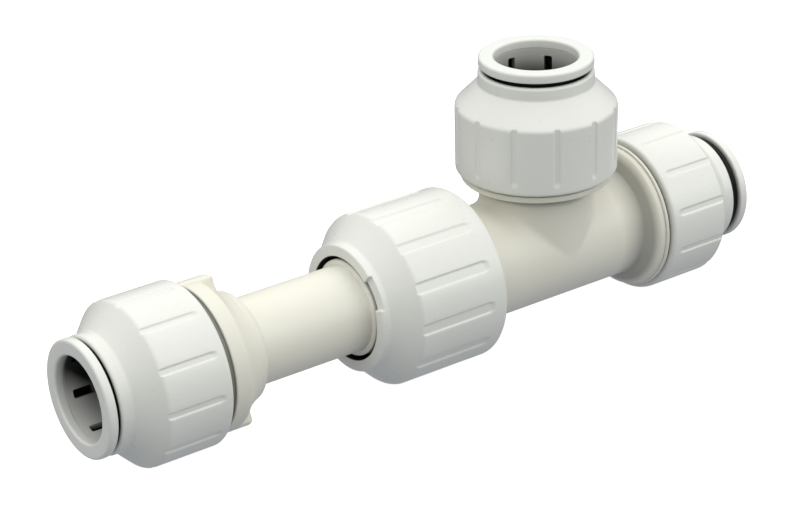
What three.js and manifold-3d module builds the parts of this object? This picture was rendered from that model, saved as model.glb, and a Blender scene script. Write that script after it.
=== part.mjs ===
// Push-fit slip tee for 15 mm tube: a tee body with two fixed ports, and a third port on a
// tube that slides in and out of the body through a slip nut.
// Millimetres. +X runs along the tee's run, +Z up its branch. The origin is below the middle
// of the whole fitting, on the surface that its lowest point touches.
import * as THREE from 'three';
import { mergeVertices } from 'three/addons/utils/BufferGeometryUtils.js';
import Module from 'manifold-3d';

const wasm = await Module();
wasm.setup();

// ---- driving dimensions ----
const FINE = 32; // facets round the outer pieces
const MEDIUM = 24; // facets round hollows and teeth
const COARSE = 16; // facets round the sealed inner pieces
const NUT_RADIUS = 15.75;

// Each port: crossing of the axes to its face, how far its collet is pushed in (negative where it
// stands out), gap between its cap and the collar behind it, and the angles in degrees of the first
// cap groove and collet slit.
const PORTS = {
  branch: { face: 36.9, pushed: 0, collarGap: 0.5, grooveStart: 5.6, slitStart: 34.5 },
  run_end: { face: 43.3, pushed: -0.9, collarGap: 0.5, grooveStart: 13, slitStart: 30 },
  tube_end: { face: 96.85, pushed: 0.2, collarGap: 1.5, grooveStart: 0, slitStart: 9.7 },
};
const CROSSING = new THREE.Vector3((PORTS.tube_end.face - PORTS.run_end.face) / 2, 0, NUT_RADIUS);

// A port is measured from the back edge of its cap (0) towards its mouth (+).
const PORT_LENGTH = 21.4; // cap's back edge to the face of a collet that isn't pushed in
const INSERTION = 28; // how far a tube goes in, from the collet's face to the tube stop
const TUBE_STOP = PORT_LENGTH - INSERTION;
const TUBE_BORE = 7.75; // radius of the socket for a 15 mm tube
const WATERWAY = 6.3;
const SLEEVE = { radius: 12.55, front: 8 };
const SEAL_SEAT = { radius: 10.2, floor: 1.4 };
const CAP = { radius: 14.65, shoulder: 11.9, neck: 10.45, front: 18.8, grooves: 12, grooveWidth: 1.5 };
const COLLET = { flange: 10.4, flangeThickness: 1.6, sleeve: 9, back: 7.8, bore: 7.7 };
const SLITS = { count: 7, width: 1.5, end: 18.3 };
const GRIP = { outer: 8.35, root: 8, tip: 7.45, teeth: 8, thickness: 0.5, height: 9.55 };
const SPACER = { inner: 7.85, outer: 10, back: 4.7, front: 6.6 };
const RING_SECTION = 1.1; // radius of an O-ring's section
const SEAT_CLEARANCE = 0.2; // between an O-ring and the walls of its seat
const GROOVE_DEPTH = 0.25;
const GROOVE_BACK = { cap: 1.8, nut: 3 }; // where the grooves end, from the back edge

// The slip joint is measured from the slip nut's back edge (0) towards its mouth (+).
const NUT_BACK = 19; // crossing to the nut's back edge
const NUT = { mouth: 24.1, hole: 9.5, neck: 11.6, inner: 13.9 };
const NUT_GROOVES = { count: 13, width: 2.3, start: 20.4 };
const NOTCH = { angle: 127, width: 5.6, depth: 1 }; // one of two across the nut's mouth
const BARREL = { radius: 13.4, front: 15.5 };
const SLIP_SEAT = { radius: 10.45, floor: 11.5 };
const SLIP_SPACER = { outer: 10.25, back: 14.85, front: 16.6 };
const WEDGE = { base: 11.2, nose: 8.7, back: 17.4, front: 24, split: 1.5 };
const SLIDE = { radius: 7.85, bore: 6.2, end: 8, clearance: 0.3, guideEnd: -10.4 };

// Tee body
const RUN_RADIUS = 10.45;
const BRANCH_RADIUS = 10.2;
const LUGS = { angle: 66, width: 6, tip: 13.4, back: -8.15 }; // two across the sliding tube's collar

// ---- materials ----
const plastic = (color, roughness) => new THREE.MeshStandardMaterial({ color, roughness, metalness: 0 });
const CAP_WHITE = plastic(0xe9ece8, 0.32);
const BODY_WHITE = plastic(0xe6e3d3, 0.45);
const SPACER_WHITE = plastic(0xd8dbd8, 0.4);
const SEAL_BLACK = plastic(0x16171a, 0.6);
const STEEL = new THREE.MeshStandardMaterial({ color: 0xb9bcc0, roughness: 0.3, metalness: 1 });

// ---- geometry helpers ----
const TURN = Math.PI * 2;
const radians = THREE.MathUtils.degToRad;

// A closed outline of [radius, height] points turned about +Z.
function turned(outline, facets = FINE) {
  const points = outline.map(([radius, height]) => new THREE.Vector2(radius, height));
  const geometry = new THREE.LatheGeometry([...points, points[0].clone()], facets);
  return geometry.rotateX(Math.PI / 2);
}

// A solid of revolution whose outline starts and ends on the axis.
function turnedCore(outline, facets = FINE) {
  const base = outline[0][1];
  const top = outline[outline.length - 1][1];
  return turned([[0, base], ...outline, [0, top]], facets);
}

function toManifold(geometry) {
  const bare = geometry.clone();
  bare.deleteAttribute('normal');
  bare.deleteAttribute('uv');
  const welded = mergeVertices(bare, 1e-4);
  const vertProperties = new Float32Array(welded.attributes.position.array);
  const corners = [];
  const index = welded.index.array;
  for (let i = 0; i < index.length; i += 3) {
    const [a, b, c] = [index[i], index[i + 1], index[i + 2]];
    if (a !== b && b !== c && c !== a) corners.push(a, b, c);
  }
  const triVerts = new Uint32Array(corners);
  return new wasm.Manifold(new wasm.Mesh({ numProp: 3, vertProperties, triVerts }));
}

function toGeometry(solid) {
  const { vertProperties, triVerts, numProp } = solid.getMesh();
  const positions = new Float32Array((vertProperties.length / numProp) * 3);
  for (let i = 0; i < positions.length / 3; i += 1) {
    for (let k = 0; k < 3; k += 1) positions[i * 3 + k] = vertProperties[i * numProp + k];
  }
  const geometry = new THREE.BufferGeometry();
  geometry.setAttribute('position', new THREE.BufferAttribute(positions, 3));
  geometry.setIndex(new THREE.BufferAttribute(new Uint32Array(triVerts), 1));
  geometry.computeVertexNormals();
  return geometry;
}

// Cuts a list of geometries out of one geometry.
function cut(geometry, cutters) {
  let solid = toManifold(geometry);
  for (const cutter of cutters) solid = solid.subtract(toManifold(cutter));
  return toGeometry(solid);
}

// Copies of a cutter spaced evenly round +Z, the first turned by `start` degrees.
function around(cutter, count, start = 0) {
  const turns = Array.from({ length: count }, (_, i) => radians(start) + (i * TURN) / count);
  return turns.map((angle) => cutter.clone().rotateZ(angle));
}

// A straight round-ended bar lying along +Z at `radius`, to cut a shallow groove.
function grooveBar(radius, width, from, to) {
  const outline = new THREE.Shape();
  const half = width / 2;
  outline.moveTo(-half, to);
  outline.lineTo(-half, from + half);
  outline.absarc(0, from + half, half, Math.PI, TURN, false);
  outline.lineTo(half, to);
  const bar = new THREE.ExtrudeGeometry(outline, { depth: 3, bevelEnabled: false, curveSegments: 2 });
  return bar.rotateX(Math.PI / 2).rotateZ(Math.PI / 2).translate(radius - GROOVE_DEPTH, 0, 0);
}

function piece(name, geometry, material) {
  const mesh = new THREE.Mesh(geometry, material);
  mesh.name = name;
  return mesh;
}

// ---- the four pieces that turn or slide in a port, and its seal ----
function screwCap(grooveStart) {
  const { radius, shoulder, neck, front } = CAP;
  const body = turned([
    [12.95, 0.3], [13.3, 0], [radius - 0.55, 0], [radius, 0.6], [radius, shoulder],
    [radius - 0.25, shoulder + 0.6], [10.75, 16.25], [neck, 16.7], [neck, front - 0.35],
    [neck - 0.35, front], [9.6, front], [9.35, front - 0.3], [9.35, 14.2], [10.45, 11.6],
    [10.45, 9.2], [12.95, 9.2],
  ]);
  const groove = grooveBar(radius, CAP.grooveWidth, GROOVE_BACK.cap, shoulder + 1.5);
  return cut(body, around(groove, CAP.grooves, grooveStart));
}

function collet(slitStart) {
  const { flange, flangeThickness, sleeve, back, bore } = COLLET;
  const face = PORT_LENGTH;
  const flangeBack = face - flangeThickness;
  const body = turned([
    [bore, back], [9.9, back], [9.9, 9.6], [sleeve, 12.2], [sleeve, flangeBack],
    [flange - 0.3, flangeBack], [flange, flangeBack + 0.3], [flange, face - 0.4], [flange - 0.4, face],
    [bore + 0.2, face], [bore, face - 0.4], [bore, 10.7], [8.5, 10.5], [8.5, 9.1], [bore, 8.9],
  ]);
  const slitLength = SLITS.end - back + 1;
  const slit = new THREE.BoxGeometry(4, SLITS.width, slitLength);
  slit.translate(sleeve, 0, SLITS.end - slitLength / 2);
  return cut(body, around(slit, SLITS.count, slitStart));
}

// A flat steel washer with teeth that point inwards at the tube.
function gripRing() {
  const washer = new THREE.Shape();
  washer.absarc(0, 0, GRIP.outer, 0, TURN, false);
  const mouth = new THREE.Path();
  for (let i = 0; i < GRIP.teeth * 3; i += 1) {
    const angle = (-i * TURN) / (GRIP.teeth * 3);
    const radius = i % 3 === 0 ? GRIP.root : GRIP.tip;
    const point = [radius * Math.cos(angle), radius * Math.sin(angle)];
    if (i === 0) mouth.moveTo(...point);
    else mouth.lineTo(...point);
  }
  mouth.closePath();
  washer.holes.push(mouth);
  const options = { depth: GRIP.thickness, bevelEnabled: false, curveSegments: MEDIUM / 2 };
  return new THREE.ExtrudeGeometry(washer, options).translate(0, 0, GRIP.height);
}

function spacerWasher(inner, outer, back, front) {
  const outside = [[outer - 0.3, back], [outer, back + 0.3], [outer, front]];
  return turned([[inner, back], ...outside, [inner, front]], COARSE);
}

// An O-ring that lies in a seat, clear of the seat's wall and floor.
function oRing(seat) {
  const reach = SEAT_CLEARANCE + RING_SECTION;
  const ring = new THREE.TorusGeometry(seat.radius - reach, RING_SECTION, 6, COARSE);
  return ring.translate(0, 0, seat.floor + reach);
}

// Crossing of the axes to the back edge of a port's cap.
const capBack = (name) => PORTS[name].face + PORTS[name].pushed - PORT_LENGTH;

// Everything loose in one port, built up +Z with the cap's back edge at 0.
function portPieces(name) {
  const { pushed, grooveStart, slitStart } = PORTS[name];
  const spacer = spacerWasher(SPACER.inner, SPACER.outer, SPACER.back, SPACER.front);
  const group = new THREE.Group();
  group.add(piece(`${name}_screw_cap`, screwCap(grooveStart), CAP_WHITE));
  group.add(piece(`${name}_collet`, collet(slitStart).translate(0, 0, -pushed), CAP_WHITE));
  group.add(piece(`${name}_grip_ring`, gripRing().translate(0, 0, -pushed), STEEL));
  group.add(piece(`${name}_spacer_washer`, spacer, SPACER_WHITE));
  group.add(piece(`${name}_o_ring`, oRing(SEAL_SEAT), SEAL_BLACK));
  return group;
}

// The hollow of a socket: seal seat, tube bore down to the tube stop, and waterway to `depth`.
function socketCore(waterway, depth) {
  return turnedCore([
    [waterway, depth], [waterway, TUBE_STOP], [TUBE_BORE, TUBE_STOP], [TUBE_BORE, SEAL_SEAT.floor],
    [SEAL_SEAT.radius, SEAL_SEAT.floor], [SEAL_SEAT.radius, SLEEVE.front + 1],
  ], MEDIUM);
}

// ---- slip joint ----
function slipNut() {
  const { mouth, hole, neck, inner } = NUT;
  const body = turned([
    [inner, 0.4], [inner + 0.4, 0], [NUT_RADIUS - 0.8, 0], [NUT_RADIUS, 0.8], [NUT_RADIUS, 17.6],
    [NUT_RADIUS - 0.5, 18.6], [neck + 0.4, 22.3], [neck, 22.9], [neck, mouth - 0.3],
    [neck - 0.3, mouth], [hole, mouth], [hole, 20.6], [12.3, 17.6], [inner, 17.2],
  ]);
  const groove = grooveBar(NUT_RADIUS, NUT_GROOVES.width, GROOVE_BACK.nut, 19);
  const notch = new THREE.BoxGeometry(6, NOTCH.width, 2 * NOTCH.depth).translate(12, 0, mouth);
  const grooves = around(groove, NUT_GROOVES.count, NUT_GROOVES.start);
  return cut(body, [...grooves, ...around(notch, 2, NOTCH.angle)]);
}

// A split wedge ring that the slip nut closes on the sliding tube.
function slipGripRing() {
  const { base, nose, back, front, split } = WEDGE;
  const inner = SLIDE.radius + SLIDE.clearance;
  const outside = [[base, back], [nose + 0.5, 19.9], [nose, 20.6], [nose, front]];
  const wedge = turned([[inner, back], ...outside, [inner, front]]);
  const gap = new THREE.BoxGeometry(6, split, 8).translate(10, 0, (back + front) / 2);
  return cut(wedge, around(gap, 1, 90));
}

function slipJointPieces() {
  const { outer, back, front } = SLIP_SPACER;
  const spacer = spacerWasher(SLIDE.radius + SLIDE.clearance, outer, back, front);
  const group = new THREE.Group();
  group.add(piece('slip_nut', slipNut(), CAP_WHITE));
  group.add(piece('slip_grip_ring', slipGripRing(), CAP_WHITE));
  group.add(piece('slip_spacer', spacer, SPACER_WHITE));
  group.add(piece('slip_o_ring', oRing(SLIP_SEAT), SEAL_BLACK));
  return group;
}

// ---- sliding tube, in its port's own measure ----
function slideTube() {
  const collar = -PORTS.tube_end.collarGap;
  const innerEnd = NUT_BACK + SLIDE.end - capBack('tube_end');
  const outside = turnedCore([
    [SLIDE.radius - 0.5, innerEnd], [SLIDE.radius, innerEnd + 0.5], [SLIDE.radius, -11.4],
    [8.4, -10.7], [9.6, -9.7], [10.1, -8.8], [10.6, -7.7], [11.25, -6.7], [12.1, -5.7], [13.2, -4.4],
    [13.2, collar],
    [SLEEVE.radius, collar], [SLEEVE.radius, SLEEVE.front - 0.4], [SLEEVE.radius - 0.4, SLEEVE.front],
  ]);
  const lugSpan = collar - LUGS.back;
  const lugBar = new THREE.BoxGeometry(2 * LUGS.tip + 2, LUGS.width, lugSpan);
  lugBar.translate(0, 0, LUGS.back + lugSpan / 2).rotateZ(radians(180 - LUGS.angle - 90));
  const { tip, back } = LUGS;
  const lugEnvelope = turnedCore([[tip - 0.8, back], [tip, back + 0.8], [tip, collar]]);
  const lugs = toManifold(lugBar).intersect(toManifold(lugEnvelope));
  const hollow = socketCore(SLIDE.bore, innerEnd - 1);
  return toGeometry(toManifold(outside).add(lugs).subtract(toManifold(hollow)));
}

// ---- tee body, about the crossing of its axes ----
function teeBody() {
  const runCap = capBack('run_end');
  const runCollar = runCap - PORTS.run_end.collarGap;
  const runSleeve = runCap + SLEEVE.front;
  const barrelFront = -(NUT_BACK + BARREL.front);
  const run = turnedCore([
    [BARREL.radius - 0.4, barrelFront], [BARREL.radius, barrelFront + 0.4], [BARREL.radius, -18.4],
    [RUN_RADIUS, -16], [RUN_RADIUS, runCollar - 3.5], [12.1, runCollar - 2], [13.2, runCollar - 0.5],
    [13.8, runCollar - 0.25], [13.9, runCollar], [SLEEVE.radius, runCollar],
    [SLEEVE.radius, runSleeve - 0.4], [SLEEVE.radius - 0.4, runSleeve],
  ]);
  const branchCap = capBack('branch');
  const branchCollar = branchCap - PORTS.branch.collarGap;
  const branchSleeve = branchCap + SLEEVE.front;
  const branch = turnedCore([
    [BRANCH_RADIUS, 0], [BRANCH_RADIUS, branchCollar - 2.6], [10.6, branchCollar - 1.9],
    [11.6, branchCollar - 1.3], [13.4, branchCollar - 1.1], [13.7, branchCollar - 0.8],
    [13.7, branchCollar], [SLEEVE.radius, branchCollar], [SLEEVE.radius, branchSleeve - 0.4],
    [SLEEVE.radius - 0.4, branchSleeve],
  ]);
  const toRun = (geometry) => geometry.rotateY(Math.PI / 2);
  const guideEnd = -NUT_BACK - SLIDE.guideEnd;
  const runHollow = toRun(socketCore(WATERWAY, guideEnd - runCap - 1).translate(0, 0, runCap));
  const branchHollow = socketCore(WATERWAY, -branchCap).translate(0, 0, branchCap);
  const seatFloor = -(NUT_BACK + SLIP_SEAT.floor);
  const guide = SLIDE.radius + SLIDE.clearance;
  const slipHollow = toRun(turnedCore([
    [SLIP_SEAT.radius, barrelFront - 1], [SLIP_SEAT.radius, seatFloor], [guide, seatFloor],
    [guide, guideEnd],
  ], MEDIUM));
  let solid = toManifold(toRun(run)).add(toManifold(branch));
  for (const hollow of [runHollow, branchHollow, slipHollow]) {
    solid = solid.subtract(toManifold(hollow));
  }
  return toGeometry(solid);
}

// ---- assembly ----
const group = new THREE.Group();
const fitting = new THREE.Group();
fitting.position.copy(CROSSING);
group.add(fitting);

fitting.add(piece('tee_body', teeBody(), BODY_WHITE));

const branchPort = portPieces('branch');
branchPort.position.z = capBack('branch');
fitting.add(branchPort);

const runPort = portPieces('run_end');
runPort.rotation.y = Math.PI / 2;
runPort.position.x = capBack('run_end');
fitting.add(runPort);

const slipJoint = slipJointPieces();
slipJoint.rotation.y = -Math.PI / 2;
slipJoint.position.x = -NUT_BACK;
fitting.add(slipJoint);

const tubePort = portPieces('tube_end');
tubePort.add(piece('slide_tube', slideTube(), BODY_WHITE));
tubePort.rotation.y = -Math.PI / 2;
tubePort.position.x = -capBack('tube_end');
fitting.add(tubePort);

export default group;
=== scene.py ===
"""Looks of the push-fit slip tee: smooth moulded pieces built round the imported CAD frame."""
import math

import bpy
import numpy as np
from mathutils import Matrix, Vector

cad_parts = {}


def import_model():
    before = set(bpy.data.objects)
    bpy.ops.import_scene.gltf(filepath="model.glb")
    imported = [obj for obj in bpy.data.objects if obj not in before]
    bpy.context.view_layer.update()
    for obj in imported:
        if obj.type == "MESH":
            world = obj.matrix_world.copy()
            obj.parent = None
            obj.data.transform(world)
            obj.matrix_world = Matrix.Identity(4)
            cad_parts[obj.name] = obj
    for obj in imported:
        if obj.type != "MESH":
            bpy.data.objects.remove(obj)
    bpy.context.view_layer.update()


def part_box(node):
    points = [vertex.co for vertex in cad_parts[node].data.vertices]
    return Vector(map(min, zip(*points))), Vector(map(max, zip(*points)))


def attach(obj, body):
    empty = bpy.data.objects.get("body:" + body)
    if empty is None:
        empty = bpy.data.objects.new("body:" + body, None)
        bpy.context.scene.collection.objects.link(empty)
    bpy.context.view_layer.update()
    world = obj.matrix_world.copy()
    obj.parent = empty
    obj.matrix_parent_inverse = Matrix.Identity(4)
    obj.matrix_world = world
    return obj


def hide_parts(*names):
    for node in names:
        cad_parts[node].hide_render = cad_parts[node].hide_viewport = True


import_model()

MM = 0.001
SHARP_ANGLE = math.radians(38)  # faces that meet at more than this show an edge

# ---------------------------------------------------------------- where things are, from the CAD frame


def port_matrix(cap, outward):
    """Takes a port's own measure, mm from the cap's back edge along +Z, to the object's frame."""
    low, high = (np.array(corner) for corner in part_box(cap))
    origin = (low + high) / 2
    axis = int(np.argmax(np.abs(outward)))
    origin[axis] = low[axis] if outward[axis] > 0 else high[axis]
    turn = {(0, 0, 1): 0.0, (1, 0, 0): 90.0, (-1, 0, 0): -90.0}[tuple(outward)]
    spin = Matrix.Rotation(math.radians(turn), 4, "Y")
    return Matrix.Translation(Vector(origin)) @ spin @ Matrix.Scale(MM, 4)


PORTS = {
    "branch": port_matrix("branch_screw_cap", (0, 0, 1)),
    "run_end": port_matrix("run_end_screw_cap", (1, 0, 0)),
    "tube_end": port_matrix("tube_end_screw_cap", (-1, 0, 0)),
}
SLIP_JOINT = port_matrix("slip_nut", (-1, 0, 0))
CROSSING = Vector((PORTS["branch"].translation.x, 0, PORTS["run_end"].translation.z))
BODY_MATRIX = Matrix.Translation(CROSSING) @ Matrix.Scale(MM, 4)


def along(matrix, axis):
    """A port's place on the run or the branch, in mm from the crossing."""
    return (matrix.translation - CROSSING)[axis] / MM


# ---------------------------------------------------------------- mesh building


def rounded(points, steps=6):
    """A closed outline of (radius, height[, fillet]) corners, with an arc at each corner's fillet."""
    out = []
    for i, point in enumerate(points):
        here = np.array(point[:2], float)
        fillet = point[2] if len(point) > 2 else 0
        if not fillet:
            out.append(here)
            continue
        before = np.array(points[i - 1][:2], float) - here
        after = np.array(points[(i + 1) % len(points)][:2], float) - here
        before_length, after_length = np.linalg.norm(before), np.linalg.norm(after)
        before, after = before / before_length, after / after_length
        half = math.acos(np.clip(before @ after, -1, 1)) / 2
        tangent = min(fillet / math.tan(half), 0.48 * before_length, 0.48 * after_length)
        fillet = tangent * math.tan(half)
        middle = here + (before + after) / np.linalg.norm(before + after) * fillet / math.sin(half)
        first, last = here + before * tangent - middle, here + after * tangent - middle
        sweep = math.atan2(first[0] * last[1] - first[1] * last[0], first @ last)
        start = math.atan2(first[1], first[0])
        for k in range(steps + 1):
            angle = start + sweep * k / steps
            out.append(middle + fillet * np.array((math.cos(angle), math.sin(angle))))
    return np.array(out)


def refined(outline, step, needed):
    """The outline with its long straight stretches divided where `needed(radius, height)` is true."""
    out = []
    for here, there in zip(outline, np.roll(outline, -1, axis=0)):
        length = np.linalg.norm(there - here)
        count = max(1, int(length / step)) if needed(*((here + there) / 2)) else 1
        out.extend(here + (there - here) * k / count for k in range(count))
    return np.array(out)


def even_angles(count):
    return np.linspace(0, 2 * math.pi, count, endpoint=False)


def crowded_angles(base, edges, spread, steps=6):
    """`base` evenly spaced angles, with extra ones within `spread` radians of each edge."""
    extra = [edge + spread * k / steps for edge in edges for k in range(-steps, steps + 1)]
    angles = np.sort(np.concatenate([even_angles(base), extra]) % (2 * math.pi))
    kept = [angles[0]]
    for angle in angles[1:]:
        if angle - kept[-1] > spread / steps / 2:
            kept.append(angle)
    return np.array(kept)


def mesh_object(name, points, faces, material, matrix=Matrix()):
    mesh = bpy.data.meshes.new(name)
    mesh.from_pydata([tuple(matrix @ Vector(point)) for point in points], [], faces)
    mesh.validate()
    mesh.update()
    thing = bpy.data.objects.new(name, mesh)
    bpy.context.scene.collection.objects.link(thing)
    mesh.materials.append(material)
    finish_shading(mesh)
    return thing


def finish_shading(mesh):
    mesh.shade_smooth()
    mesh.set_sharp_from_angle(angle=SHARP_ANGLE)


def revolved(name, outline, angles, material, matrix, shape=None, split=False):
    """A closed outline turned about +Z. `shape(radius, angle, height)` may move every point.

    A split ring stops at its first and last angles, where a flat face closes it."""
    angle, radius = np.meshgrid(angles, outline[:, 0])
    height = np.repeat(outline[:, 1:2], len(angles), axis=1)
    if shape:
        radius, height = shape(radius, angle, height)
    points = np.stack([radius * np.cos(angle), radius * np.sin(angle), height], -1).reshape(-1, 3)
    rows, columns = radius.shape
    row, column = np.divmod(np.arange(rows * columns), columns)
    next_row, next_column = (row + 1) % rows, (column + 1) % columns
    quads = np.stack([
        row * columns + column, row * columns + next_column,
        next_row * columns + next_column, next_row * columns + column,
    ], -1)
    if not split:
        return mesh_object(name, points, quads.tolist(), material, matrix)
    faces = quads[column < columns - 1].tolist()
    faces.append([i * columns for i in range(rows)])
    faces.append([i * columns + columns - 1 for i in reversed(range(rows))])
    return mesh_object(name, points, faces, material, matrix)


def subtract(thing, cutters):
    """Cuts other objects out of this one, and deletes them."""
    for cutter in cutters:
        modifier = thing.modifiers.new("boolean", "BOOLEAN")
        modifier.operation = "DIFFERENCE"
        modifier.solver = "EXACT"
        modifier.object = cutter
    shaped = bpy.data.meshes.new_from_object(thing.evaluated_get(bpy.context.evaluated_depsgraph_get()))
    thing.modifiers.clear()
    old, thing.data = thing.data, shaped
    bpy.data.meshes.remove(old)
    shaped.name = thing.name
    for cutter in cutters:
        bpy.data.meshes.remove(cutter.data)
    finish_shading(shaped)


def smoothstep(value):
    value = np.clip(value, 0, 1)
    return value * value * (3 - 2 * value)


def paint_shade(piece, matrix, painted_shade):
    """Stores painted shade at each point, 0 to 1, which the plastic's material mixes towards near black
    where hollows and gaps lie in shade.
    """
    mesh = piece.data
    points = np.empty(3 * len(mesh.vertices))
    mesh.vertices.foreach_get("co", points)
    inverse = np.array(matrix.inverted())
    points = points.reshape(-1, 3) @ inverse[:3, :3].T + inverse[:3, 3]
    # this attribute holds painted shade from 0 to 1, not a real depth
    depth = mesh.attributes.new("painted_shade", "FLOAT", "POINT")
    depth.data.foreach_set("value", np.clip(painted_shade(*points.T), 0, 1))


def nearest_angle(angle, centres):
    """The angle's distance from the nearest of the centres."""
    away = [np.abs((angle - centre + math.pi) % (2 * math.pi) - math.pi) for centre in centres]
    return np.min(away, axis=0)


# ---------------------------------------------------------------- materials


def principled(name, colour, roughness):
    material = bpy.data.materials.new(name)
    material.use_nodes = True
    shader = material.node_tree.nodes["Principled BSDF"]
    shader.inputs["Base Color"].default_value = (*colour, 1)
    shader.inputs["Roughness"].default_value = roughness
    return material, shader


def noise(tree, scale, detail, coordinates):
    node = tree.nodes.new("ShaderNodeTexNoise")
    node.inputs["Scale"].default_value = scale
    node.inputs["Detail"].default_value = detail
    tree.links.new(coordinates, node.inputs["Vector"])
    return node.outputs["Fac"]


def ramp(tree, factor, *stops):
    node = tree.nodes.new("ShaderNodeValToRGB")
    elements = node.color_ramp.elements
    while len(elements) < len(stops):
        elements.new(0.5)
    for element, (position, colour) in zip(elements, stops):
        element.position = position
        element.color = (*colour, 1)
    tree.links.new(factor, node.inputs["Fac"])
    return node.outputs["Color"]


def bump(tree, height, strength, distance, normal=None):
    node = tree.nodes.new("ShaderNodeBump")
    node.inputs["Strength"].default_value = strength
    node.inputs["Distance"].default_value = distance
    tree.links.new(height, node.inputs["Height"])
    if normal:
        tree.links.new(normal, node.inputs["Normal"])
    return node.outputs["Normal"]


def moulded_plastic(name, colour, roughness, tint, coat=0.0):
    """White moulded plastic: cloudy tone, a fine orange peel, and gloss that varies a little.

    Where a piece stores painted shade, its colour is mixed towards near black: shade painted in hollows
    and gaps."""
    material, shader = principled(name, colour, roughness)
    tree = material.node_tree
    place = tree.nodes.new("ShaderNodeTexCoord").outputs["Object"]
    cloud = noise(tree, 55, 3, place)
    flecks = noise(tree, 900, 2, place)
    light, dark = np.array(colour), np.array(colour) * tint
    painted_shade = tree.nodes.new("ShaderNodeAttribute")
    painted_shade.attribute_name = "painted_shade"
    shaded = tree.nodes.new("ShaderNodeMix")
    shaded.data_type = "RGBA"
    tree.links.new(painted_shade.outputs["Fac"], shaded.inputs["Factor"])
    tree.links.new(ramp(tree, cloud, (0.3, tuple(dark)), (0.62, tuple(light))), shaded.inputs["A"])
    # near-black colour of the painted shade
    shaded.inputs["B"].default_value = (0.006, 0.006, 0.007, 1)
    tree.links.new(shaded.outputs["Result"], shader.inputs["Base Color"])
    gloss = ramp(tree, flecks, (0.25, (roughness * 0.82,) * 3), (0.75, (roughness * 1.18,) * 3))
    tree.links.new(gloss, shader.inputs["Roughness"])
    peel = noise(tree, 420, 2, place)
    grain = noise(tree, 2600, 1, place)
    soft = bump(tree, peel, 0.10, 0.0003)
    tree.links.new(bump(tree, grain, 0.06, 0.00006, soft), shader.inputs["Normal"])
    shader.inputs["Coat Weight"].default_value = coat
    shader.inputs["Coat Roughness"].default_value = 0.12
    shader.inputs["IOR"].default_value = 1.49
    return material


def rubber(name):
    material, shader = principled(name, (0.016, 0.016, 0.018), 0.55)
    tree = material.node_tree
    place = tree.nodes.new("ShaderNodeTexCoord").outputs["Object"]
    bloom = noise(tree, 260, 4, place)
    colours = ramp(tree, bloom, (0.35, (0.012, 0.012, 0.013)), (0.8, (0.032, 0.032, 0.034)))
    tree.links.new(colours, shader.inputs["Base Color"])
    gloss = ramp(tree, bloom, (0.2, (0.45,) * 3), (0.8, (0.68,) * 3))
    tree.links.new(gloss, shader.inputs["Roughness"])
    tree.links.new(bump(tree, noise(tree, 1500, 2, place), 0.2, 0.0001), shader.inputs["Normal"])
    return material


def stainless(name):
    material, shader = principled(name, (0.62, 0.62, 0.64), 0.3)
    shader.inputs["Metallic"].default_value = 1
    tree = material.node_tree
    place = tree.nodes.new("ShaderNodeTexCoord").outputs["Object"]
    streaks = noise(tree, 1200, 3, place)
    colours = ramp(tree, streaks, (0.3, (0.5, 0.5, 0.52)), (0.7, (0.7, 0.7, 0.71)))
    tree.links.new(colours, shader.inputs["Base Color"])
    gloss = ramp(tree, streaks, (0.2, (0.22,) * 3), (0.8, (0.42,) * 3))
    tree.links.new(gloss, shader.inputs["Roughness"])
    tree.links.new(bump(tree, streaks, 0.15, 0.00005), shader.inputs["Normal"])
    return material


CAP_WHITE = moulded_plastic("cap_white", (0.81, 0.822, 0.765), 0.32, (0.975, 0.98, 0.975), coat=0.15)
COLLET_WHITE = moulded_plastic("collet_white", (0.81, 0.82, 0.775), 0.34, (0.975, 0.98, 0.975), coat=0.1)
BODY_WHITE = moulded_plastic("body_white", (0.81, 0.803, 0.70), 0.44, (0.97, 0.965, 0.95))
SPACER_WHITE = moulded_plastic("spacer_white", (0.7, 0.71, 0.69), 0.45, (0.96, 0.96, 0.96))
SEAL_BLACK = rubber("seal_black")
GRIP_STEEL = stainless("grip_steel")

# ---------------------------------------------------------------- grooves


class Grooves:
    """Shallow flat-bottomed grooves along a cap, from a round end near its back edge to its shoulder."""

    DEPTH = 0.28
    WALL = 0.36  # width of a groove's sloping wall
    SKIN = 3  # only the outline's points this close to the cap's radius are moved

    def __init__(self, radius, count, start, width, back):
        """`start` is the first groove's angle, and `back` is how far from the back edge they begin."""
        self.radius, self.half, self.back = radius, width / 2, back
        self.centres = np.radians(start) + even_angles(count)

    def shape(self, radius, angle, height):
        pitch = 2 * math.pi / len(self.centres)
        across = np.abs((angle - self.centres[0] + pitch / 2) % pitch - pitch / 2) * self.radius
        short = np.maximum(self.back + self.half - height, 0)
        inside = self.half - np.hypot(across, short)
        floor = self.radius - self.DEPTH * smoothstep(inside / self.WALL)
        outer = radius > self.radius - self.SKIN
        return np.where(outer, np.minimum(radius, floor), radius), height

    def angles(self, base, others=()):
        """Angles round the cap, crowded at the grooves and at other places that need them."""
        reach = 1.05 * self.half / self.radius
        grooves = crowded_angles(base, self.centres, reach, 10)
        edges = crowded_angles(0, others, 0.35 / self.radius, 4) if len(others) else []
        return np.unique(np.round(np.concatenate([grooves, edges]), 6))


# ---------------------------------------------------------------- the pieces of a port

CAP_RADIUS = 14.65
CAP_FRONT = 18.8
CAP_THREAD = 12.95  # inner radius of the cap, where it goes over a sleeve
CAP_NARROWS = 11  # from the cap's back edge to about where its inside narrows
PORT_LENGTH = 21.4  # to the face of a collet that isn't pushed in
FLANGE = 1.7  # thickness of a collet's flange
COLLET_RADIUS = 9
COLLET_BORE = 7.7


def pushed_in(name, matrix):
    """How far, in mm, the port's collet is pushed into its cap."""
    corners = [matrix.inverted() @ Vector(corner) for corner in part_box(f"{name}_collet")]
    return PORT_LENGTH - max(corner.z for corner in corners)


def finished(piece, body, node):
    """Puts the piece on the body it rides on, and hides the CAD node that it stands in for."""
    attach(piece, body)
    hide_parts(node)


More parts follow.
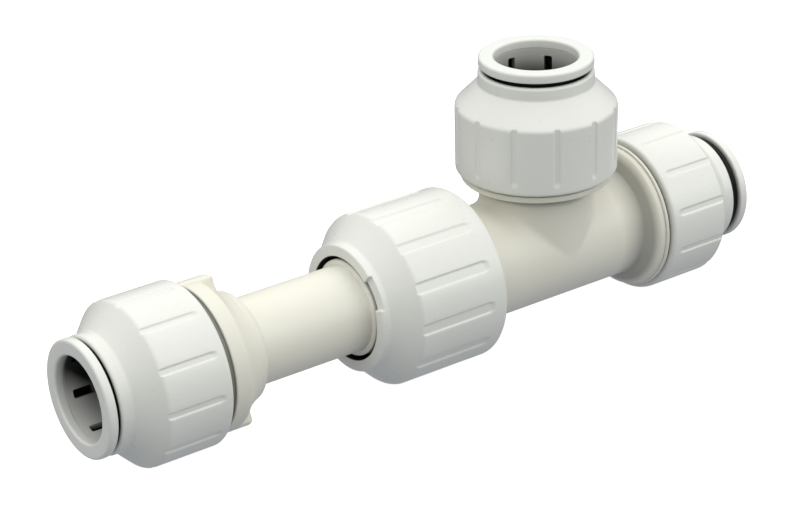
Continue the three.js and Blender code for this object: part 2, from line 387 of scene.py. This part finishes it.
def screw_cap(name, matrix, groove_start):
    outline = rounded([
        (CAP_THREAD, 0, 0.2), (CAP_RADIUS, 0, 0.55), (CAP_RADIUS, 12.35, 1.1), (10.5, 16.5, 0.6),
        (10.45, CAP_FRONT, 0.6), (9.35, CAP_FRONT, 0.2), (9.35, 14.2), (10.45, 11.6), (10.45, 9.2),
        (CAP_THREAD, 9.2),
    ])
    outline = refined(outline, 0.4, lambda radius, height: radius > 11)
    grooves = Grooves(CAP_RADIUS, count=12, start=groove_start, width=1.5, back=1.8)
    angles = grooves.angles(120)
    piece = revolved(f"{name}_cap_moulding", outline, angles, CAP_WHITE, matrix, grooves.shape)

    # Painted shade in the cap's mouth, over its thread and at its back edge, where the gaps lie in
    # shade.
    def painted_shade(x, y, height):
        radius = np.hypot(x, y)
        mouth = smoothstep((9.9 - radius) / 0.5) * (height > CAP_NARROWS)
        back = 0.7 * smoothstep((CAP_THREAD + 0.75 - radius) / 0.5) * (height < 0.2)
        thread = (radius < CAP_THREAD + 0.25) & (height > 0.2) & (height < CAP_NARROWS)
        return np.max([mouth, back, thread], axis=0)

    paint_shade(piece, matrix, painted_shade)
    finished(piece, f"{name}_cap", f"{name}_screw_cap")


def slit_cutter(angle, width, start, end):
    """A bar through a collet's wall, with small rounds at its end."""
    half = width / 2
    corner = 0.3
    near, far = 6.5, 11.5  # radii inside and outside the wall
    profile = [(-half, start), (half, start)]
    for middle, first in ((half - corner, 0), (corner - half, math.pi / 2)):
        for turn in np.linspace(first, first + math.pi / 2, 4):
            profile.append((middle + corner * math.cos(turn), end - corner + corner * math.sin(turn)))
    points = [(depth, side, height) for depth in (near, far) for side, height in profile]
    count = len(profile)
    walls = [(i, (i + 1) % count, count + (i + 1) % count, count + i) for i in range(count)]
    ends = [tuple(range(count - 1, -1, -1)), tuple(range(count, 2 * count))]
    return mesh_object("slit", points, walls + ends, COLLET_WHITE, Matrix.Rotation(angle, 4, "Z"))


def collet(name, matrix, slit_start):
    flange_back, bore, mouth = PORT_LENGTH - FLANGE, COLLET_BORE, COLLET_BORE - 0.1
    outline = rounded([
        (bore, 7.8, 0.2), (9.9, 7.8, 0.3), (9.9, 9.6), (COLLET_RADIUS, 12.2),
        (COLLET_RADIUS, flange_back, 0.2), (10.4, flange_back, 0.3), (10.4, PORT_LENGTH, 0.5),
        (mouth, PORT_LENGTH, 0.45), (mouth, PORT_LENGTH - 1.6, 0.1), (bore, PORT_LENGTH - 1.7),
        (bore, 10.7), (8.5, 10.5), (8.5, 9.1), (bore, 8.9),
    ])
    outline = refined(outline, 0.4, lambda radius, height: radius < 9.2 and height > 12)
    piece = revolved(f"{name}_collet_moulding", outline, even_angles(160), COLLET_WHITE, Matrix())
    starts = np.radians(slit_start) + even_angles(7)
    subtract(piece, [slit_cutter(angle, width=1.5, start=7, end=PORT_LENGTH - 3.1) for angle in starts])
    # which way is up, for the painted shade under the upper wall of a port that lies level
    up = (matrix.to_3x3().inverted() @ Vector((0, 0, 1))).normalized()
    lying = math.hypot(up.x, up.y)  # 1 for a port that lies level, 0 for one that points up

    def painted_shade(x, y, height):
        """Painted shade: darker with depth in the bore and under the upper wall of a port that lies
        level, where light from above doesn't reach, and behind the flange.
        """
        radius, depth = np.hypot(x, y), PORT_LENGTH - height
        outside = smoothstep((flange_back + 0.12 - height) / 0.12) * smoothstep((9.6 - radius) / 0.4)
        overhead = (x * up.x + y * up.y) / radius
        inside = 0.3 * smoothstep((depth - 1.5) / 0.5) + 0.7 * smoothstep((depth - 1.8) / 6)
        inside *= 1 + 0.6 * overhead
        inside += 0.7 * lying * smoothstep(overhead + 0.5) * smoothstep((depth - 0.4) / 2)
        return np.where(radius > COLLET_RADIUS - 0.1, outside, inside)

    paint_shade(piece, Matrix(), painted_shade)
    piece.data.transform(matrix @ Matrix.Translation((0, 0, -pushed_in(name, matrix))))
    finished(piece, f"{name}_collet", f"{name}_collet")


def tooth_ring(name, matrix):
    """A thin steel washer whose inner edge is cut into teeth."""
    tips, outer, back, front = 7.45, 8.35, 9.6, 10.0
    count, length = 8, 0.5
    outline = np.array([(tips, back), (outer, back), (outer, front), (tips, front)])

    def teeth(radius, angle, height):
        wave = np.abs((angle * count / math.pi) % 2 - 1)
        return np.where(radius < outer, tips + length * smoothstep(wave * 1.6 - 0.5), radius), height

    place = matrix @ Matrix.Translation((0, 0, -pushed_in(name, matrix)))
    piece = revolved(f"{name}_tooth_ring", outline, even_angles(192), GRIP_STEEL, place, teeth)
    finished(piece, f"{name}_collet", f"{name}_grip_ring")


def washer(piece_name, body, node, matrix, inner, outer, start, end):
    corners = [(inner, start, 0.15), (outer, start, 0.3), (outer, end, 0.15), (inner, end, 0.15)]
    outline = rounded(corners, 3)
    piece = revolved(piece_name, outline, even_angles(96), SPACER_WHITE, matrix)
    finished(piece, body, node)


def seal_ring(piece_name, body, node, matrix, middle, height):
    section = 1.1  # radius of the ring's own round section
    turns = even_angles(20)
    outline = np.stack([middle + section * np.cos(turns), height + section * np.sin(turns)], -1)
    piece = revolved(piece_name, outline, even_angles(96), SEAL_BLACK, matrix)
    finished(piece, body, node)


for port, seal_body, groove_start, slit_start in (
    ("branch", "tee", 5.6, 34.5), ("run_end", "tee", 13, 30), ("tube_end", "slide_tube", 0, 9.7),
):
    place = PORTS[port]
    screw_cap(port, place, groove_start)
    collet(port, place, slit_start)
    tooth_ring(port, place)
    washer(
        f"{port}_thrust_washer", f"{port}_spacer", f"{port}_spacer_washer", place,
        inner=7.85, outer=10, start=4.7, end=6.6,
    )
    seal_ring(f"{port}_seal_ring", seal_body, f"{port}_o_ring", place, middle=8.9, height=2.7)

# ---------------------------------------------------------------- slip joint

NUT_RADIUS = 15.75
NUT_MOUTH = 24.1
NUT_BORE = 13.9  # inner radius of the nut, where it goes over the tee body's barrel
RIM_RADIUS = 10.6  # middle of the nut's flat rim
NOTCH_ANGLES = np.radians([124, 304])
NOTCH_HALF_WIDTH = 2.9
NOTCH_DEPTH = 0.7
SLIDE_RADIUS = 7.85
GUIDE_RADIUS = 8.15
WEDGE_NOSE = 8.8


def slip_nut():
    outline = rounded([
        (NUT_BORE, 0, 0.3), (NUT_RADIUS, 0, 0.7), (NUT_RADIUS, 18.3, 1.0), (11.75, 22.5, 0.8),
        (11.6, NUT_MOUTH, 0.35), (9.5, NUT_MOUTH, 0.12), (9.5, 20.6), (12.3, 17.6), (NUT_BORE, 17.2),
    ])
    outline = refined(outline, 0.4, lambda radius, height: radius > 12.5 and height > 0.1)
    grooves = Grooves(NUT_RADIUS, count=13, start=20.4, width=2.3, back=3.0)
    half = NOTCH_HALF_WIDTH / RIM_RADIUS
    sides = [centre + side * half for centre in NOTCH_ANGLES for side in (-1, 1)]
    floor = NUT_MOUTH - NOTCH_DEPTH

    def shape(radius, angle, height):
        radius, height = grooves.shape(radius, angle, height)
        inside = (NOTCH_HALF_WIDTH - nearest_angle(angle, NOTCH_ANGLES) * RIM_RADIUS) / 0.2 + 0.5
        lowered = np.where(height > floor, floor + (height - floor) * 0.05, height)
        return radius, height + (lowered - height) * smoothstep(inside)

    angles = grooves.angles(130, sides)
    piece = revolved("slip_nut_moulding", outline, angles, CAP_WHITE, SLIP_JOINT, shape)

    # Painted shade in the nut's hole, in the cavity behind its mouth and at its back edge.
    def painted_shade(x, y, height):
        radius = np.hypot(x, y)
        hole = smoothstep((9.62 - radius) / 0.12)
        cone = 12.3 - np.maximum(height - 17.6, 0) * 0.93 + 0.3
        wall = np.where(height < 17.4, NUT_BORE + 0.05, cone)
        cavity = (radius < wall) & (height > 0.3) & (height < 20.8)
        back = smoothstep((NUT_BORE + 0.4 - radius) / 0.4) * (height < 0.3)
        return np.max([hole, cavity, back], axis=0)

    paint_shade(piece, SLIP_JOINT, painted_shade)
    finished(piece, "slip_nut", "slip_nut")


def slip_wedge_ring():
    """The split ring that the nut closes on the tube. Its nose fills the nut's mouth."""
    lip = SLIDE_RADIUS + 0.03
    outline = rounded([
        (GUIDE_RADIUS, 17.4, 0.2), (11.2, 17.4, 0.3), (9.2, 19.9), (WEDGE_NOSE, 20.6),
        (WEDGE_NOSE, NUT_MOUTH - 0.4, 0.3), (lip, NUT_MOUTH - 0.15, 0.02), (lip, NUT_MOUTH - 0.8),
        (GUIDE_RADIUS, NUT_MOUTH - 1.0),
    ], 4)
    half_gap = 0.08
    angles = np.radians(90) + np.linspace(half_gap, 2 * math.pi - half_gap, 120)
    piece = revolved("slip_wedge_ring", outline, angles, BODY_WHITE, SLIP_JOINT, split=True)
    # Painted shade on the ring behind its nose, where it lies in shade inside the nut.
    paint_shade(piece, SLIP_JOINT, lambda x, y, height: smoothstep((NUT_MOUTH - 0.6 - height) / 0.3))
    finished(piece, "slip_grip", "slip_grip_ring")


slip_nut()
slip_wedge_ring()
washer(
    "slip_thrust_washer", "slip_spacer", "slip_spacer", SLIP_JOINT,
    inner=GUIDE_RADIUS, outer=10.25, start=14.85, end=16.6,
)
seal_ring("slip_seal_ring", "tee", "slip_o_ring", SLIP_JOINT, middle=9.15, height=12.8)

# ---------------------------------------------------------------- sockets, sliding tube and tee body

SLEEVE_RADIUS = 12.55
SLEEVE_FRONT = 8.0
TUBE_STOP = PORT_LENGTH - 28  # a joined tube goes 28 mm in
WATERWAY = 6.3
SEAT_RADIUS = 10.2  # of the wide part of a socket, where the seal lies
SOCKET = [(SEAT_RADIUS, SLEEVE_FRONT), (SEAT_RADIUS, 1.4), (7.75, 1.4), (7.75, TUBE_STOP)]


def sliding_tube():
    matrix = PORTS["tube_end"]
    collar = -1.5
    lug_angles, lug_back, lug_tip, lug_half, lug_corner = np.radians([24, 204]), -8.15, 13.4, 3.0, 1.1
    bore = 6.2
    inner_end = -(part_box("slide_tube")[1][0] - matrix.translation.x) / MM
    nut_mouth = (matrix.translation.x - SLIP_JOINT.translation.x) / MM + NUT_MOUTH
    outline = rounded([
        (bore, inner_end, 0.3), (SLIDE_RADIUS, inner_end, 0.5), (SLIDE_RADIUS, nut_mouth - 0.9),
        *[(SLIDE_RADIUS, nut_mouth - depth) for depth in (0.6, 0.4, 0.3, 0.15, 0.0)],
        (SLIDE_RADIUS, -11.1, 0.4), (9.75, -9.75, 0.6),
        (10.25, -8.4, 2), (11.3, -6.6, 4), (12.2, -5.5, 3), (13.2, -4.5, 0.9), (13.2, collar, 0.25),
        (SLEEVE_RADIUS, collar, 0.15), (SLEEVE_RADIUS, SLEEVE_FRONT, 0.3), *SOCKET,
        (bore, TUBE_STOP, 0.2),
    ])
    outline = refined(
        outline, 0.25, lambda radius, height: radius > 9 and lug_back - 1 < height < collar,
    )

    def shape(radius, angle, height):
        """Raises the two lugs, which have round corners and a soft crown."""
        side = lug_half - nearest_angle(angle, lug_angles) * lug_tip
        back = height - lug_back
        short = np.hypot(np.maximum(lug_corner - side, 0), np.maximum(lug_corner - back, 0))
        inside = lug_corner - short
        raised = smoothstep(inside / 0.25) * (height < collar - 0.01) * (radius > 8)
        crown = lug_tip - 0.45 * smoothstep(1 - inside / lug_corner)
        return np.maximum(radius, radius + (crown - radius) * raised), height

    edges = [centre + side * lug_half / lug_tip for centre in lug_angles for side in (-1, 1)]
    angles = crowded_angles(144, edges, 0.7 / lug_tip, 10)
    piece = revolved("sliding_tube_moulding", outline, angles, BODY_WHITE, matrix, shape)

    # Painted shade where the tube is inside the nut, in the gap between its collar and the cap, under
    # the cap and in its socket.
    def painted_shade(x, y, height):
        radius = np.hypot(x, y)
        in_nut = smoothstep((nut_mouth - 0.2 - height) / 0.3)
        in_gap = 0.65 * smoothstep((13.05 - radius) / 0.3) * (height > collar - 0.05)
        in_cap = smoothstep((height + 0.3) / 0.3) * (radius < CAP_THREAD + 0.05)
        socket = (radius < 7.8) & (height > inner_end + 1) | (radius < 10.5) & (height > 1)
        return np.max([in_nut, in_gap, in_cap, socket], axis=0)

    paint_shade(piece, matrix, painted_shade)
    finished(piece, "slide_tube", "slide_tube")


RUN_RADIUS = 10.45
BRANCH_RADIUS = 10.42
BARREL_RADIUS = 13.4
CAP_GAP = 0.5  # from the tee body's collars to the caps


class TeeSkin:
    """The outside of the tee body, in mm from the crossing of its axes.

    A square-cornered patch on the run, pierced by the branch, is joined to a plain strip under it. Its
    points are drawn roughly, and then moved on to the two cylinders and the fillet between them."""

    LEFT, RIGHT = -16.0, 12.3  # ends of the patch along the run
    BELOW_CAP = 3.1  # from the branch cap's back edge to the patch's top
    SIDE = 48  # divisions along each of the patch's four sides
    UNDER = 22  # divisions round the run below the patch
    HALF_PATCH = math.radians(125)  # how far the patch reaches down from the run's top line
    FILLET = 2.1

    def __init__(self):
        self.points, self.faces = [], []
        self.top = along(PORTS["branch"], 2) - self.BELOW_CAP

    def ring(self, points):
        first = len(self.points)
        self.points.extend(tuple(point) for point in points)
        return list(range(first, first + len(points)))

    def bridge(self, lower, upper, closed=True):
        count = len(lower)
        for i in range(count if closed else count - 1):
            j = (i + 1) % count
            self.faces.append((lower[i], lower[j], upper[j], upper[i]))

    def fitted(self, points):
        """Moves points on to the smooth union of the two cylinders."""

        def field(p):
            run = np.hypot(p[:, 1], p[:, 2])
            branch = np.hypot(p[:, 0], p[:, 1])
            facing = p[:, 1] ** 2 / np.maximum(run * branch, 1e-6)
            reach = self.FILLET * np.clip(1 - facing, 0.02, 1)
            a = run - RUN_RADIUS
            b = np.where(p[:, 2] > 0, branch - BRANCH_RADIUS, a + 2 * self.FILLET)
            blend = np.maximum(reach - np.abs(a - b), 0) / reach
            return np.minimum(a, b) - blend * blend * reach / 4

        points = np.array(points, float)
        for _ in range(8):
            slope = np.stack([
                (field(points + step) - field(points - step)) / 2e-3
                for step in np.eye(3) * 1e-3
            ], -1)
            points -= field(points)[:, None] * slope / np.maximum((slope ** 2).sum(1), 0.25)[:, None]
        return points

    @staticmethod
    def on_run(x, angle):
        return np.stack([x, RUN_RADIUS * np.sin(angle), RUN_RADIUS * np.cos(angle)], -1)

    def build(self):
        """Makes the patch and the strip, and returns the rings of points at their three openings."""
        side = self.SIDE
        corner = np.linspace(-1, 1, side, endpoint=False)
        right = np.stack([np.full(side, self.RIGHT), corner * self.HALF_PATCH], -1)
        left = np.stack([np.full(side, self.LEFT), -corner * self.HALF_PATCH], -1)
        middle, span = (self.LEFT + self.RIGHT) / 2, (self.RIGHT - self.LEFT) / 2
        front = np.stack([middle - corner * span, np.full(side, self.HALF_PATCH)], -1)
        back = np.stack([middle + corner * span, np.full(side, -self.HALF_PATCH)], -1)
        border = np.concatenate([right, front, left, back])
        turn = math.pi / 4 * corner
        around = np.concatenate([turn, turn + math.pi / 2, turn + math.pi, turn + 1.5 * math.pi])
        branch_x, branch_y = BRANCH_RADIUS * np.cos(around), BRANCH_RADIUS * np.sin(around)
        crossing = np.stack([branch_x, np.arcsin(branch_y / RUN_RADIUS)], -1)
        start_height = np.sqrt(RUN_RADIUS ** 2 - branch_y ** 2)

        rings = []
        for t in np.linspace(1, 0, 17)[:-1]:
            share = 0.35 * t + 0.65 * t * t
            height = start_height + (self.top - start_height) * share
            tube = np.stack([branch_x, branch_y, height], -1)
            rings.append(tube if t == 1 else self.fitted(tube))
        for t in np.linspace(0, 1, 19):
            share = 0.4 * t + 0.6 * t * t
            flat = crossing + (border - crossing) * share
            sheet = self.on_run(flat[:, 0], flat[:, 1])
            rings.append(sheet if t == 1 else self.fitted(sheet))
        ids = [self.ring(ring) for ring in rings]
        for upper, lower in zip(ids, ids[1:]):
            self.bridge(lower, upper)

        # The strip under the run, between the patch's long sides.
        edge = ids[-1]
        front_row = edge[side:2 * side + 1]
        back_row = [edge[(3 * side + k) % (4 * side)] for k in range(side + 1)][::-1]
        rows = [front_row]
        under = np.linspace(self.HALF_PATCH, 2 * math.pi - self.HALF_PATCH, self.UNDER + 1)[1:-1]
        across = middle - np.append(corner, 1) * span
        for angle in under:
            rows.append(self.ring(self.on_run(across, np.full(side + 1, angle))))
        rows.append(back_row)
        for upper, lower in zip(rows, rows[1:]):
            self.bridge(lower, upper, closed=False)

        # The run's two ends and the branch's top go on as turned shapes.
        right_ring = edge[:side + 1] + [row[0] for row in rows[1:-1]]
        left_ring = [edge[(2 * side + k) % (4 * side)] for k in range(side + 1)] + [
            row[-1] for row in reversed(rows[1:-1])
        ]
        return right_ring, left_ring, ids[0]

    def turned_end(self, ring, outline, axis):
        """Continues a ring of points along an axis with (radius, place) rows, and closes its end."""
        start = np.array([self.points[i] for i in ring])
        others = [k for k in range(3) if k != axis]
        unit = start[:, others] / np.linalg.norm(start[:, others], axis=1)[:, None]
        last = ring
        for radius, place in outline:
            points = np.empty_like(start)
            points[:, others] = unit * radius
            points[:, axis] = place
            new = self.ring(points)
            self.bridge(last, new)
            last = new
        self.faces.append(tuple(last))


def open_outline(corners):
    """Rounds the inner corners of an outline that doesn't close, and leaves out its first point."""
    padded = rounded([*corners, (0.0, corners[-1][1]), (0.0, corners[0][1])])
    return padded[1:-2]


def turned_core(outline, matrix):
    """A solid of revolution to cut with, whose outline's first and last points are on the axis."""
    count = 128
    angles = even_angles(count)
    points = [(0, 0, outline[0][1])]
    for radius, height in outline[1:-1]:
        points.extend((radius * math.cos(a), radius * math.sin(a), height) for a in angles)
    points.append((0, 0, outline[-1][1]))
    faces = []
    rows = len(outline) - 2
    for j in range(count):
        k = (j + 1) % count
        faces.append((0, 1 + k, 1 + j))
        for i in range(rows - 1):
            low, high = 1 + i * count, 1 + (i + 1) * count
            faces.append((low + j, low + k, high + k, high + j))
        last = 1 + (rows - 1) * count
        faces.append((last + j, last + k, len(points) - 1))
    return mesh_object("hollow", points, faces, BODY_WHITE, matrix)


def port_hollow(matrix, depth):
    """A port's socket, and the waterway from it down to `depth`."""
    outline = [(0, depth), (WATERWAY, depth), (WATERWAY, TUBE_STOP), *SOCKET[:0:-1]]
    past_front = SLEEVE_FRONT + 1
    return turned_core([*outline, (SEAT_RADIUS, past_front), (0, past_front)], matrix)


def tee_body():
    skin = TeeSkin()
    right_ring, left_ring, top_ring = skin.build()
    cap_back = along(PORTS["run_end"], 0)
    collar = cap_back - CAP_GAP
    skin.turned_end(right_ring, open_outline([
        (RUN_RADIUS, skin.RIGHT), (RUN_RADIUS, collar - 3.35, 0.45), (12.0, collar - 2.4, 0.4),
        (13.2, collar - 1.55, 0.7), (13.5, collar - 0.7, 0.3), (13.15, collar - 0.66),
        (13.15, collar - 0.58), (13.75, collar - 0.54, 0.12), (13.85, collar, 0.15),
        (SLEEVE_RADIUS, collar, 0.1), (SLEEVE_RADIUS, cap_back - 0.15), (SLEEVE_RADIUS, cap_back + 0.15),
        (SLEEVE_RADIUS, cap_back + SLEEVE_FRONT),
    ]), 0)
    nut_back = along(SLIP_JOINT, 0)
    skin.turned_end(left_ring, open_outline([
        (RUN_RADIUS, skin.LEFT), (BARREL_RADIUS, nut_back + 0.6, 0.8), (BARREL_RADIUS, nut_back),
        (BARREL_RADIUS, nut_back - 0.4), (BARREL_RADIUS, nut_back - 15.5),
    ]), 0)
    branch_back = along(PORTS["branch"], 2)
    ring_top = branch_back - CAP_GAP
    skin.turned_end(top_ring, open_outline([
        (BRANCH_RADIUS, skin.top), (BRANCH_RADIUS + 0.2, ring_top - 1.9, 1), (11.4, ring_top - 1.15, 1),
        (13.7, ring_top - 1.1, 0.3), (13.7, ring_top, 0.25), (SLEEVE_RADIUS, ring_top, 0.1),
        (SLEEVE_RADIUS, branch_back - 0.15), (SLEEVE_RADIUS, branch_back + 0.15),
        (SLEEVE_RADIUS, branch_back + SLEEVE_FRONT),
    ]), 2)
    piece = mesh_object("tee_moulding", skin.points, skin.faces, BODY_WHITE)
    to_mm = BODY_MATRIX.inverted()
    slip = to_mm @ SLIP_JOINT
    barrel_hollow = turned_core([
        (0, -10.4), (GUIDE_RADIUS, -10.4), (GUIDE_RADIUS, 11.5), (10.45, 11.5), (10.45, 17), (0, 17),
    ], slip)
    run_hollow = port_hollow(to_mm @ PORTS["run_end"], -cap_back - 9)
    branch_hollow = port_hollow(to_mm @ PORTS["branch"], -branch_back)
    subtract(piece, [run_hollow, branch_hollow, barrel_hollow])

    def painted_shade(x, y, z):
        """Painted shade in the bores, under the caps and the nut, and softer painted shade in two
        outside corners.
        """
        run, branch = np.hypot(y, z), np.hypot(x, y)
        in_branch = branch < BRANCH_RADIUS - 0.05
        return np.max([
            (run < RUN_RADIUS - 0.05) & (in_branch | (z <= 5)),
            in_branch & (z > 10),
            smoothstep((x - cap_back + 0.15) / 0.3) * (run < CAP_THREAD + 0.05),
            smoothstep((z - branch_back + 0.15) / 0.3) * (branch < CAP_THREAD + 0.05),
            smoothstep((nut_back - x) / 0.4),
            0.45 * smoothstep(1.6 - np.abs(x - collar + 3.0)) * (run < 12.2) * (x > 12),
            0.55 * smoothstep(1.5 - np.abs(z - ring_top + 2.0)) * (branch < 12) * (z > 8),
        ], axis=0)

    paint_shade(piece, Matrix(), painted_shade)
    piece.data.transform(BODY_MATRIX)
    finished(piece, "tee", "tee_body")


sliding_tube()
tee_body()

# ---------------------------------------------------------------- camera, floor and light

# In metres and degrees, with the lens in mm. The camera looks at a point that is `across` and `up` from
# where the axes of the run and the branch cross.
CAMERA = {
    "azimuth": -35.84, "elevation": 25.31, "roll": -1.44, "distance": 0.4757,
    "lens": 116.51, "across": -0.0250, "up": -0.0032,
}
LIT_POINT = Vector((0, 0, 0.02))


def camera():
    turn, rise, roll = (math.radians(CAMERA[key]) for key in ("azimuth", "elevation", "roll"))
    back = Vector((math.sin(turn) * math.cos(rise), -math.cos(turn) * math.cos(rise), math.sin(rise)))
    level = Vector((math.cos(turn), math.sin(turn), 0))
    upright = back.cross(level)
    right = level * math.cos(roll) + upright * math.sin(roll)
    up = upright * math.cos(roll) - level * math.sin(roll)
    lens = bpy.data.cameras.new("camera")
    lens.lens = CAMERA["lens"]
    lens.clip_start, lens.clip_end = 0.01, 20
    view = bpy.data.objects.new("camera", lens)
    place = CROSSING + back * CAMERA["distance"] + right * CAMERA["across"] + up * CAMERA["up"]
    view.matrix_world = Matrix.Translation(place) @ Matrix((right, up, back)).transposed().to_4x4()
    bpy.context.scene.collection.objects.link(view)
    bpy.context.scene.camera = view


def floor():
    """A plain white ground, which lights nothing and shades nothing."""
    size = 6.0
    corners = [(-size, -size, 0), (size, -size, 0), (size, size, 0), (-size, size, 0)]
    material, shader = principled("floor", (0.6, 0.6, 0.6), 0.9)
    shader.inputs["Specular IOR Level"].default_value = 0.1
    shader.inputs["Emission Color"].default_value = (1, 1, 1, 1)
    shader.inputs["Emission Strength"].default_value = 0.8
    plane = mesh_object("floor", corners, [(0, 1, 2, 3)], material)
    plane.visible_diffuse = False
    plane.visible_glossy = False
    plane.visible_shadow = False


def area_light(name, place, size, power):
    """A white panel, in metres and watts, that faces the object."""
    lamp = bpy.data.lights.new(name, "AREA")
    lamp.shape = "RECTANGLE"
    lamp.size, lamp.size_y = size
    lamp.energy = power
    thing = bpy.data.objects.new(name, lamp)
    thing.location = place
    thing.rotation_euler = (LIT_POINT - Vector(place)).to_track_quat("-Z", "Y").to_euler()
    bpy.context.scene.collection.objects.link(thing)


def world(*shades):
    """Plain light all round, with its colours below the object, level with it and above it."""
    surroundings = bpy.data.worlds.new("world")
    surroundings.use_nodes = True
    tree = surroundings.node_tree
    place = tree.nodes.new("ShaderNodeTexCoord").outputs["Generated"]
    split = tree.nodes.new("ShaderNodeSeparateXYZ")
    tree.links.new(place, split.inputs[0])
    lifted = tree.nodes.new("ShaderNodeMapRange")
    lifted.inputs["From Min"].default_value = -1
    tree.links.new(split.outputs["Z"], lifted.inputs["Value"])
    colours = ramp(tree, lifted.outputs["Result"], *zip((0.2, 0.5, 0.8), shades))
    tree.links.new(colours, tree.nodes["Background"].inputs["Color"])
    bpy.context.scene.world = surroundings


camera()
floor()
world((0.375, 0.39, 0.43), (0.10, 0.10, 0.10), (1.27, 1.27, 1.27))
area_light("key", (-0.15, -0.1, 0.9), (0.9, 0.7), 0.6)
area_light("side", (0.8, -0.75, 0.35), (0.6, 0.6), 1.8)
bpy.context.scene.view_settings.view_transform = "Standard"
